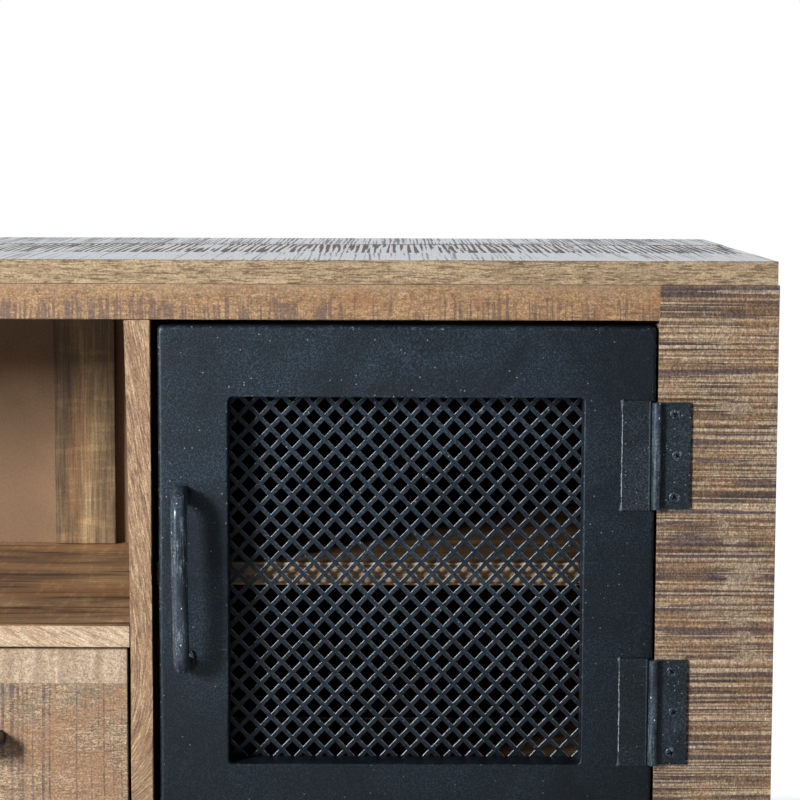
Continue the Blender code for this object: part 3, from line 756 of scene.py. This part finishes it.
def make_inside():
    rail_low, rail_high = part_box("top_rail")
    for name, side in SIDES.items():
        low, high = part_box("divider_" + name)
        notch = ((low.x - 0.01, low.y - 0.01, rail_low.z - 0.0002),
                 (high.x + 0.01, rail_high.y + 0.0002, rail_high.z + 0.1))
        timber("divider_" + name, divider_wood("divider_wood_" + name, 14.0 + side, rail_low.z), 14 + side,
               notch=notch, wander=0.0006, edge=0.0005,
               shape=lambda bm, flank=side: flare_divider(bm, flank, rail_low.z))
        batten = planed_wood("batten_wood_" + name, "z", 17.0 + side, BATTEN_STOPS, (0.24, 0.125, 0.055),
                             0.5, 34.0)
        timber("back_batten_" + name, batten, 17 + side)
        shelf = "cabinet_shelf_" + name
        timber(shelf, shelf_wood("shelf_wood_" + name, shelf, 20.0 + side), 20 + side,
               low=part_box(shelf)[0] - Vector((0.0, 0.0, SHELF_EXTRA)), cell=0.03)
    timber("niche_shelf", niche_wood("niche_wood", 22.0), 22, edge=0.0005)
    timber("drawer_partition", partition_wood("partition_wood", 23.0), 23)
    timber("bottom_board", planed_wood("bottom_wood", "x", 24.0, SHELF_STOPS), 24, cell=0.04)
    timber("back_panel", fibreboard("back_fibreboard"), 25, cell=0.05, edge=0.0003, wander=0.0005, wear=0.0)


def make_drawer(name, side):
    body = "drawer_" + name
    front = body + "_front"
    low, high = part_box(front)
    joint = high.z - STRIP_HEIGHT
    timber(front, drawer_wood(front + "_wood", 30.0 + side, joint), 30 + side, front + "_plank", body,
           high=(high.x, high.y, joint), edge=0.0005, tight=joint)
    timber(front, strip_wood(body + "_strip_wood", 33.0 + side), 33 + side, front + "_strip", body,
           low=(low.x, low.y, joint), edge=0.0005, tight=joint)
    for part, along in (("_inner_wall", "y"), ("_outer_wall", "y"), ("_back", "x")):
        timber(body + part, planed_wood(body + part, along, 36.0 + side, SHELF_STOPS), 36 + side,
               body=body, cell=0.03)
    timber(body + "_bottom", fibreboard(body + "_fibreboard"), 39 + side, body=body, cell=0.05,
           edge=0.0003, wander=0.0, wear=0.0)


# ---------------------------------------------------------------- doors

WINDOW_X = (0.3564, 0.5953)
WINDOW_Z = (0.158, 0.408)
SHEET, FOLD, LIP, LINING = 0.002, 0.0026, 0.0013, 0.022  # its thickness, two fold radii, window depth
FOLDED_STRIPS = (1, 2, 3, 4, 11, 12, 13, 14)  # the strips of a door's ring that lie on its two folds
PITCH_X, PITCH_Z = 0.01469, 0.01534  # from hole to hole in a row and in a column
HOLE_X, HOLE_Z = 0.4722, 0.2849  # the middle of one hole
MESH_STRIP, MESH_RIM = 0.0031, 0.00035  # the steel between two holes, and its rounded edge
HANDLE_ROD = 0.0055  # half its thickness
HANDLE_BEND, HANDLE_BOW, HANDLE_CLEAR = 0.013, 0.002, 0.0026  # bend radius, bow, and room for the bow
HANDLE_SIDES = 24
SQUARENESS = 2.35  # of a handle's section: 2 would be round
FOOT_WELD_SIZE = (0.0034, 0.0026, 0.0068)  # half its width, depth and height
FOOT_WELD_OFFSET = 0.0054  # outwards from the handle's middle
LINE_STEPS, CORNER_STEPS = 22, 4


def rounded_loop(bounds, radius, y):
    """Points round a rectangle with rounded corners, in the plane at y."""
    x0, x1, z0, z1 = bounds
    centres = ((x1 - radius, z1 - radius, 0), (x0 + radius, z1 - radius, 90),
               (x0 + radius, z0 + radius, 180), (x1 - radius, z0 + radius, 270))
    points = []
    for index, (cx, cz, start) in enumerate(centres):
        for step in range(CORNER_STEPS + 1):
            angle = math.radians(start + 90 * step / CORNER_STEPS)
            points.append(Vector((cx + radius * math.cos(angle), y, cz + radius * math.sin(angle))))
        nx, nz, next_start = centres[(index + 1) % 4]
        last = points[-1]
        begin = math.radians(next_start)
        target = Vector((nx + radius * math.cos(begin), y, nz + radius * math.sin(begin)))
        for step in range(1, LINE_STEPS):
            points.append(last.lerp(target, step / LINE_STEPS))
    return points


def grown(bounds, distance):
    x0, x1, z0, z1 = bounds
    return (x0 - distance, x1 + distance, z0 - distance, z1 + distance)


def between(first, second, share):
    return tuple(a + (b - a) * share for a, b in zip(first, second))


def make_door_frame(name, side):
    """The folded sheet ring of a door, with rounded, worn folds, slightly dented by hand work."""
    low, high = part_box("door_frame_" + name)
    front = low.y
    outer = (low.x, high.x, low.z, high.z)
    window = (*sorted(side * place for place in WINDOW_X), *WINDOW_Z)
    quarter = [math.radians(90 * step / 4) for step in range(1, 5)]
    loops = [rounded_loop(outer, 0.0028, high.y), rounded_loop(outer, 0.0028, front + FOLD)]
    for angle in quarter:
        inset = FOLD * (1 - math.cos(angle))
        loops.append(rounded_loop(grown(outer, -inset), 0.0032, front + FOLD * (1 - math.sin(angle))))
    for share in (0.08, 0.25, 0.5, 0.75, 0.92, 1.0):
        flat = between(grown(outer, -FOLD), grown(window, LIP), share)
        loops.append(rounded_loop(flat, 0.005, front))
    for angle in quarter:
        grow = LIP * (1 - math.sin(angle))
        loops.append(rounded_loop(grown(window, grow), 0.0032, front + LIP * (1 - math.cos(angle))))
    loops += [rounded_loop(window, 0.0032, front + LINING),
              rounded_loop(grown(window, SHEET), 0.005, front + LINING),
              rounded_loop(grown(window, SHEET), 0.005, front + SHEET),
              rounded_loop(grown(outer, -SHEET), 0.003, front + SHEET),
              rounded_loop(grown(outer, -SHEET), 0.003, high.y)]
    bm = bmesh.new()
    rings = [[bm.verts.new(point) for point in loop] for loop in loops]
    skin(bm, rings + rings[:1], lambda strip, index: int(strip in FOLDED_STRIPS))
    shift = Vector((side * 4.0, 2.0, 7.0))
    for vert in bm.verts:
        dent = noise.noise(vert.co * 14.0 + shift) * 0.0005 + noise.noise(vert.co * 45.0 + shift) * 0.00018
        vert.co.y += dent
        vert.co += noise.noise_vector(vert.co * 9.0 + shift) * 0.0002
    clamp_to(bm, low, high)
    steels = (black_steel("door_steel_" + name, 1.0 + side),
              black_steel("door_fold_steel_" + name, 2.0 + side, worn=0.22, specks=1.5))
    piece = to_object("door_frame_sheet_" + name, bm, steels, "door_" + name, "door_frame_" + name)
    return even_normals(piece, 50.0)


def make_door_mesh(name, side):
    """The perforated sheet: staggered square holes on their corners, cut through at the sheet's edge."""
    low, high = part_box("door_mesh_" + name)
    start_x = side * HOLE_X
    diagonal = math.hypot(PITCH_X, PITCH_Z) / 2
    half_hole = (diagonal - MESH_STRIP) / diagonal / 2
    half_rim = half_hole + MESH_RIM / diagonal / 2 * 1.6
    profile = ((0.5, low.y), (half_rim, low.y), (half_hole, low.y + MESH_RIM),
               (half_hole, high.y - MESH_RIM), (half_rim, high.y), (0.5, high.y))
    columns = range(int((low.x - start_x) / PITCH_X * 2) - 3, int((high.x - start_x) / PITCH_X * 2) + 4)
    rows = range(int((low.z - HOLE_Z) / PITCH_Z * 2) - 3, int((high.z - HOLE_Z) / PITCH_Z * 2) + 4)
    bm = bmesh.new()
    for row in rows:
        for column in columns:
            if (row + column) % 2:
                continue
            x, z = start_x + column * PITCH_X / 2, HOLE_Z + row * PITCH_Z / 2
            rings = [[bm.verts.new((x + sx * half * PITCH_X, y, z + sz * half * PITCH_Z))
                      for sx, sz in ((1, 0), (0, 1), (-1, 0), (0, -1))] for half, y in profile]
            # Painted highlight: the lower-right side of each hole, which faces up-left towards the lamp,
            # takes bright steel, and the lower-left side dimmer steel.
            skin(bm, rings, lambda strip, index: {3: 1, 2: 2}.get(index, 0) if strip in (1, 2, 3) else 0)
    bmesh.ops.remove_doubles(bm, verts=bm.verts[:], dist=0.00002)
    for axis, place, direction in ((0, low.x, -1), (0, high.x, 1), (2, low.z, -1), (2, high.z, 1)):
        normal, point = Vector(), Vector()
        normal[axis], point[axis] = direction, place
        bmesh.ops.bisect_plane(bm, geom=bm.verts[:] + bm.edges[:] + bm.faces[:], dist=0.000001,
                               plane_co=point, plane_no=normal, clear_outer=True)
        edges = [item for item in bm.edges if item.is_boundary
                 and all(abs(vert.co[axis] - place) < 0.00001 for vert in item.verts)]
        bmesh.ops.edgenet_fill(bm, edges=edges)
    steels = (black_steel("mesh_steel_" + name, 5.0 + side, roughness=0.38), RIM_HIGHLIGHT_STEEL, DIM_RIM_HIGHLIGHT_STEEL)
    to_object("door_mesh_sheet_" + name, bm, steels, "door_" + name, "door_mesh_" + name, smooth=False)


def handle_path(half, reach):
    """Centre line of a bow handle along its own x axis, from foot to foot; half is half its length."""
    bend = HANDLE_BEND
    turn = [Vector((half - bend * (1 - math.cos(angle)), -reach + bend * (1 - math.sin(angle))))
            for angle in (step * math.pi / 2 / 7 for step in range(8))]
    middle = [Vector(((half - bend) * share, -reach - HANDLE_BOW * (1 - share * share)))
              for share in (0.84, 0.67, 0.5, 0.33, 0.17, 0.0)]
    legs = [Vector((half, place)) for place in (-0.0003, -0.0025, -0.006)]
    right = legs + turn + middle
    return right + [Vector((-point.x, point.y)) for point in reversed(right[:-1])]


def make_handle(name, node, body, upright, seed, lean=0.0):
    """A forged bar, faceted along its length, that leans a little, with a weld collar at each foot."""
    low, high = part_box(node)
    centre = (low + high) / 2
    span = (high.z - low.z) if upright else (high.x - low.x)
    path = handle_path((span - 2 * HANDLE_ROD) / 2, (high.y - low.y) - HANDLE_ROD - HANDLE_CLEAR)
    bm = bmesh.new()
    rings = []
    for index, point in enumerate(path):
        before = path[max(index - 1, 0)]
        after = path[min(index + 1, len(path) - 1)]
        run = (after - before).normalized()
        outward = Vector((run.y, -run.x))
        end_distance = min(index, len(path) - 1 - index)
        collar = (1.16, 1.06)[end_distance] if end_distance < 2 else 1.0
        ring = []
        for step in range(HANDLE_SIDES):
            angle = 2 * math.pi * step / HANDLE_SIDES
            across, up = math.cos(angle), math.sin(angle)
            square = (abs(across) ** SQUARENESS + abs(up) ** SQUARENESS) ** (-1 / SQUARENESS)
            facet = 1.0 - 0.035 * math.cos(angle * 7.0 + point.x * 12.0 + seed)
            key = Vector((point.x * 55, point.y * 55, seed * 3.0 + step * 0.6))
            hammer = 1.0 + 0.035 * noise.noise(key) + 0.02 * noise.noise(key * 3.1)
            radius = HANDLE_ROD * 0.97 * square * facet * hammer * collar
            flat = point + outward * (across * radius)
            drift = lean * point.x / span
            if upright:
                place = Vector((up * radius + drift, flat.y, flat.x))
            else:
                place = Vector((flat.x, flat.y, up * radius))
            ring.append(bm.verts.new(Vector((centre.x, high.y + 0.0003, centre.z)) + place))
        rings.append(ring)
    skin(bm, rings)
    bm.faces.new(rings[0])
    bm.faces.new(rings[-1])
    clamp_to(bm, low - Vector((0.001, 0, 0)), high + Vector((0.001, 0, 0)))
    to_object(name, bm, (forged_steel(name + "_steel", "z" if upright else "x", seed),), body, node)


def make_foot_weld(name, node, body, side):
    """The lumpy black weld beside a door handle's lower foot, ground bright on top."""
    low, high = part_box(node)
    middle = Vector(((low.x + high.x) / 2 + side * FOOT_WELD_OFFSET, high.y, low.z + FOOT_WELD_SIZE[2]))
    size = Vector(FOOT_WELD_SIZE)
    bm = bmesh.new()
    bmesh.ops.create_icosphere(bm, subdivisions=4, radius=1.0)
    for face in bm.faces:
        across, out, up = face.calc_center_median()
        face.material_index = 1 if out < -0.6 and 0.15 < up < 0.75 and side * across < 0.3 else 0
    for vert in bm.verts:
        lump = 1.0 + 0.16 * noise.noise(vert.co * 2.3 + Vector((side, 0.0, 5.0)))
        vert.co = middle + vert.co * size * lump
    clamp_to(bm, low - Vector((0.01, 0.01, 0.01)), Vector((high.x + 0.01, high.y + 0.0002, high.z + 0.01)))
    to_object(name, bm, (FOOT_STEEL, BARE_STEEL), body)


# ---------------------------------------------------------------- hinges

BARREL = 0.00335  # radius
KNUCKLE_GAP = 0.00006  # at each end of a knuckle
LEAF = 0.0018  # thickness
LEAF_BACK = FRONT - 0.0003
HINGE_HEIGHT = 0.072
KNUCKLES = 5
HINGE_X = 0.6438
HINGE_Y = LEAF_BACK - BARREL
POST_LEAF, DOOR_LEAF = 0.0226, 0.0228  # from the axis to the outer edge
HINGE_LEVELS = {"lower": 0.1945, "upper": 0.3695}
SCREWS = ((0.0126, 0.028), (0.0143, 0.0), (0.0126, -0.028))  # across and up from the hinge's middle
WELD_ROWS, SMEAR_ROWS = 60, 8


def cylinder(bm, centre, radius, length, axis=(0, 0, 1), end_radius=None):
    turn = Vector((0, 0, 1)).rotation_difference(Vector(axis)).to_matrix().to_4x4()
    bmesh.ops.create_cone(bm, cap_ends=True, segments=32, depth=length, radius1=radius,
                          radius2=end_radius or radius, matrix=Matrix.Translation(centre) @ turn)


def make_leaf(name, node, body, axis, side, indexes, reach, height, material, screws):
    """A leaf on one side of its axis, with knuckles at the given indexes; a door's leaf has no screws."""
    pitch = HINGE_HEIGHT / KNUCKLES
    bm = bmesh.new()
    near, far = sorted((side * 0.001, side * reach))
    add_block(bm, (near, BARREL - LEAF, -height / 2), (far, BARREL, height / 2))
    leaf = to_object(name, bm, (material,), body, node, smooth=False)

    knuckles, slots, bore = [bmesh.new() for _ in range(3)]
    near, far = sorted((-side * 0.001, side * 0.0036))
    for index in range(KNUCKLES):
        bottom = index * pitch - HINGE_HEIGHT / 2
        if index in indexes:
            cylinder(knuckles, (0, 0, bottom + pitch / 2), BARREL, pitch - 2 * KNUCKLE_GAP)
        else:
            below = 0.01 if index == 0 else KNUCKLE_GAP
            above = 0.01 if index == KNUCKLES - 1 else KNUCKLE_GAP
            add_block(slots, (near, 0.0, bottom - below), (far, 0.01, bottom + pitch + above))
    cylinder(bore, (0, 0, 0), 0.0018, HINGE_HEIGHT + 0.01)
    for offset_x, offset_z in (SCREWS if screws else ()):
        cylinder(bore, (side * offset_x, BARREL - LEAF / 2, offset_z), 0.0021, LEAF + 0.0004,
                 axis=(0, -1, 0), end_radius=0.0043)
    steps = [(helper("knuckles", knuckles), 'UNION'), (helper("slots", slots), 'DIFFERENCE'),
             (helper("bore", bore), 'DIFFERENCE')]
    if not screws:
        crease = bmesh.new()
        cylinder(crease, (side * (BARREL + 0.0010), BARREL - LEAF + 0.0003, 0), 0.0011, height - 0.001)
        steps.insert(0, (helper("crease", crease), 'UNION'))
    carve(leaf, steps)

    bm = bmesh.new()
    bm.from_mesh(leaf.data)
    bmesh.ops.remove_doubles(bm, verts=bm.verts[:], dist=0.00003)
    bmesh.ops.dissolve_degenerate(bm, edges=bm.edges[:], dist=0.00002)
    bm.to_mesh(leaf.data)
    bm.free()
    for face in leaf.data.polygons:
        if abs(face.center.x) < BARREL + 0.0001 and face.center.y < BARREL - LEAF:
            face.material_index = 1
    leaf.data.materials.append(BARREL_STEEL)
    leaf.data.transform(Matrix.Translation(axis))
    if not screws:
        soft = leaf.modifiers.new("soft_edges", 'BEVEL')
        soft.width = 0.00012
        soft.segments = 2
        soft.limit_method = 'ANGLE'
        soft.angle_limit = math.radians(35)
        apply_modifiers(leaf)
    leaf.data.shade_smooth()
    even_normals(leaf, 35.0)


def screw_mesh():
    """A countersunk cross-head screw, its head towards +z, turned from its profile."""
    profile = ((0.0, 0.00035), (0.0018, 0.00032), (0.0031, 0.0002), (0.0036, 0.00002),
               (0.0038, -0.0002), (0.0018, -0.0018), (0.0018, -0.013), (0.0, -0.0142))
    bm = bmesh.new()
    points = [bm.verts.new((radius, 0.0, height)) for radius, height in profile]
    for first, second in zip(points, points[1:]):
        bm.edges.new((first, second))
    bmesh.ops.spin(bm, geom=bm.verts[:] + bm.edges[:], angle=2 * math.pi, steps=32,
                   axis=(0, 0, 1), cent=(0, 0, 0))
    bmesh.ops.remove_doubles(bm, verts=bm.verts[:], dist=0.00001)
    bmesh.ops.recalc_face_normals(bm, faces=bm.faces[:])
    screw = helper("screw", bm)
    cutters = []
    for x, y in ((0.0019, 0.00048), (0.00048, 0.0019)):
        bm = bmesh.new()
        add_block(bm, (-x, -y, -0.0016), (x, y, 0.002))
        cutters.append((helper("slot", bm), 'DIFFERENCE'))
    carve(screw, cutters)
    mesh = screw.data
    bpy.data.objects.remove(screw)
    mesh.materials.append(SCREW_STEEL)
    mesh.materials.append(RECESS_SHADE_STEEL)
    # Painted shade: the faces below the head's top, in the cross recess and down the hidden shank, are
    # near-black steel.
    for face in mesh.polygons:
        face.material_index = 1 if face.center.z < -0.0003 else 0
    mesh.shade_smooth()
    mesh.set_sharp_from_angle(angle=math.radians(30))
    return mesh


def make_weld(name, body, x, centre_z, seed):
    """The weld along a leaf's outer edge: a thin wavy bead that spreads into a smear at each end."""
    length = HINGE_HEIGHT + 0.004
    bm = bmesh.new()
    rings = []
    for row in range(WELD_ROWS + 1):
        share = row / WELD_ROWS
        z = centre_z + (share - 0.5) * length
        spread = math.exp(-(min(share, 1.0 - share) * length / 0.0045) ** 2)
        closing = 0.25 if row in (0, WELD_ROWS) else 1.0
        wave = 0.0005 * noise.noise(Vector((z * 130.0, seed, 0.0)))
        lump = 1.0 + 0.5 * noise.noise(Vector((z * 600.0, seed, 3.0)))
        width = (0.00045 + 0.0013 * spread) * lump * closing
        height = (0.0012 + 0.0003 * spread) * closing
        angles = [2 * math.pi * step / 12 for step in range(12)]
        rings.append([bm.verts.new((x + wave + math.cos(angle) * width,
                                    FRONT - 0.0009 - math.sin(angle) * height, z)) for angle in angles])
    # The bead's bright bare steel is partly a painted highlight along the leaf's outer edge.
    skin(bm, rings, lambda row, _: int(min(row, WELD_ROWS - 1 - row) >= SMEAR_ROWS))
    bm.faces.new(rings[0])
    bm.faces.new(rings[-1])
    to_object(name, bm, (SMEAR_STEEL, BEAD_HIGHLIGHT_STEEL), body)


def make_hinge(name, side, level, screw):
    centre_z = HINGE_LEVELS[level]
    axis = Vector((side * HINGE_X, HINGE_Y, centre_z))
    label = name + "_" + level
    door = "door_" + name
    seed = side * 2.0 + centre_z * 20.0
    post_steel = black_steel("post_leaf_steel_" + label, seed + 1, HINGE_BLUE, HINGE_PALE, 0.36,
                             specks=1.6, painted_shade=0.4)
    make_leaf("hinge_leaf_on_post_" + label, "hinge_post_leaf_" + label, "carcass", axis, side,
              (0, 2, 4), POST_LEAF, HINGE_HEIGHT, post_steel, True)
    door_steel = black_steel("door_leaf_steel_" + label, seed + 2, HINGE_BLUE, HINGE_PALE, 0.36,
                             specks=0.9, painted_shade=0.8)
    make_leaf("hinge_leaf_on_door_" + label, "hinge_door_leaf_" + label, door, axis, -side,
              (1, 3), DOOR_LEAF, HINGE_HEIGHT + 0.002, door_steel, False)
    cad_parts["hinge_pin_" + label].data.materials[0] = SCREW_STEEL
    for number, (offset_x, offset_z) in enumerate(SCREWS, start=1):
        node = "hinge_screw_%s_%d" % (label, number)
        head = claim(add_object("cross_head_" + node, screw.copy()), "carcass", node)
        turn = Matrix.Rotation(math.radians(90), 4, 'X') @ Matrix.Rotation(seed + number * 1.3, 4, 'Z')
        spot = (side * (HINGE_X + offset_x), LEAF_BACK - LEAF, centre_z + offset_z)
        head.data.transform(Matrix.Translation(spot) @ turn)
    make_weld("hinge_weld_" + label, door, side * (HINGE_X - DOOR_LEAF - 0.0001), centre_z, seed)


# ---------------------------------------------------------------- stage

def make_camera():
    data = bpy.data.cameras.new("camera")
    data.lens = CAMERA_LENS
    data.sensor_width = 36.0
    camera = add_object("camera", data)
    forward = Vector((math.sin(CAMERA_YAW) * math.cos(CAMERA_PITCH),
                      math.cos(CAMERA_YAW) * math.cos(CAMERA_PITCH), -math.sin(CAMERA_PITCH)))
    level = Vector((math.cos(CAMERA_YAW), -math.sin(CAMERA_YAW), 0.0))
    upright = level.cross(forward)
    right = level * math.cos(CAMERA_ROLL) + upright * math.sin(CAMERA_ROLL)
    up = upright * math.cos(CAMERA_ROLL) - level * math.sin(CAMERA_ROLL)
    turn = Matrix((right, up, -forward)).transposed().to_4x4()
    camera.matrix_world = Matrix.Translation(CAMERA_PLACE) @ turn
    bpy.context.scene.camera = camera


def make_key_light():
    """A soft light in front of the stand, to its left."""
    data = bpy.data.lights.new("key", 'AREA')
    data.shape = 'RECTANGLE'
    data.size, data.size_y = 0.6, 0.6
    data.energy = 142.0
    data.color = (1.0, 0.985, 0.96)
    direction = Vector(KEY_TARGET) - Vector(KEY_PLACE)
    turn = direction.to_track_quat('-Z', 'Y').to_matrix().to_4x4()
    add_object("key", data).matrix_world = Matrix.Translation(KEY_PLACE) @ turn


def make_world():
    """White behind the stand and dimmer in front, as in a photo studio; plain white to the camera."""
    world = bpy.data.worlds.new("studio")
    bpy.context.scene.world = world
    shader = Shader(world)
    depth = shader.split(Value(shader, shader.coords["Generated"]))[1]
    tint = shader.add("VectorMath", ((0.90, 0.96, 1.03),), operation='SCALE')
    shader.put(tint.inputs["Scale"], shader.span(depth, -0.2, 0.5, 0.07, 1.1))
    lit = shader.nodes["Background"]
    shader.put(lit.inputs["Color"], Value(shader, tint.outputs[0]))
    seen = shader.add("Background", ((1.0, 1.0, 1.0),))
    to_camera = shader.nodes.new("ShaderNodeLightPath").outputs["Is Camera Ray"]
    choices = [Value(shader, output) for output in (to_camera, lit.outputs[0], seen.outputs[0])]
    choose = shader.add("MixShader", choices)
    shader.links.new(choose.outputs[0], shader.nodes["World Output"].inputs["Surface"])


def make_floor():
    bm = bmesh.new()
    bmesh.ops.create_grid(bm, x_segments=1, y_segments=1, size=6.0)
    floor = helper("floor", bm)
    paint = Paint("floor", 0.8, specular=0.2)
    floor.data.materials.append(paint.finish((0.40, 0.40, 0.40)))
    paint.put(paint.inputs["Emission Color"], (1.0, 1.0, 1.0))
    behind = paint.span(paint.split(paint.place)[1], GLOW_START, GLOW_END, 0.0, 0.9)
    paint.put(paint.inputs["Emission Strength"], behind)


make_camera()
make_world()
make_floor()
make_key_light()
bpy.context.scene.view_settings.view_transform = 'Standard'

SCREW_STEEL = black_steel("screw_steel", 8.0, STEEL_PALE, HINGE_PALE, 0.34, 0.85, 2.0, painted_shade=0.3)
# Near-black steel, as painted shade in the screws' cross recesses.
RECESS_SHADE_STEEL = black_steel("recess_shade_steel", 8.5, (0.001, 0.001, 0.001), (0.003, 0.003, 0.003), 0.7)
# The barrel's bright streaks are partly a painted highlight.
BARREL_STEEL = forged_steel("barrel_steel", "z", 9.0, worn=0.45)
SMEAR_STEEL = black_steel("smear_steel", 9.5, (0.040, 0.055, 0.070), (0.09, 0.12, 0.15), 0.42, 0.25, painted_shade=0.4)
FOOT_STEEL = black_steel("foot_steel", 7.5, (0.002, 0.003, 0.004), (0.006, 0.009, 0.012), 0.46, specks=2.0)
BARE_STEEL = black_steel("bare_steel", 7.8, (0.075, 0.068, 0.062), (0.130, 0.115, 0.105), 0.60, specks=1.0)
BEAD_HIGHLIGHT_STEEL = highlight_steel("weld_bead_highlight", 0.55)
RIM_HIGHLIGHT_STEEL = highlight_steel("highlight_steel", 0.90)
DIM_RIM_HIGHLIGHT_STEEL = highlight_steel("dim_rim_highlight", 0.80)
make_top()
make_fronts()
make_inside()
cross_head = screw_mesh()
for flank_name, flank_side in SIDES.items():
    flank_door = "door_" + flank_name
    flank_drawer = "drawer_" + flank_name
    make_drawer(flank_name, flank_side)
    make_door_frame(flank_name, flank_side)
    make_door_mesh(flank_name, flank_side)
    make_handle("door_pull_" + flank_name, "door_handle_" + flank_name, flank_door, True,
                2.0 + flank_side, -0.0016 * flank_side)
    make_foot_weld("door_pull_weld_" + flank_name, "door_handle_" + flank_name, flank_door, flank_side)
    make_handle("drawer_pull_" + flank_name, flank_drawer + "_handle", flank_drawer, False, 6.0 + flank_side)
    for hinge_level in HINGE_LEVELS:
        make_hinge(flank_name, flank_side, hinge_level, cross_head)
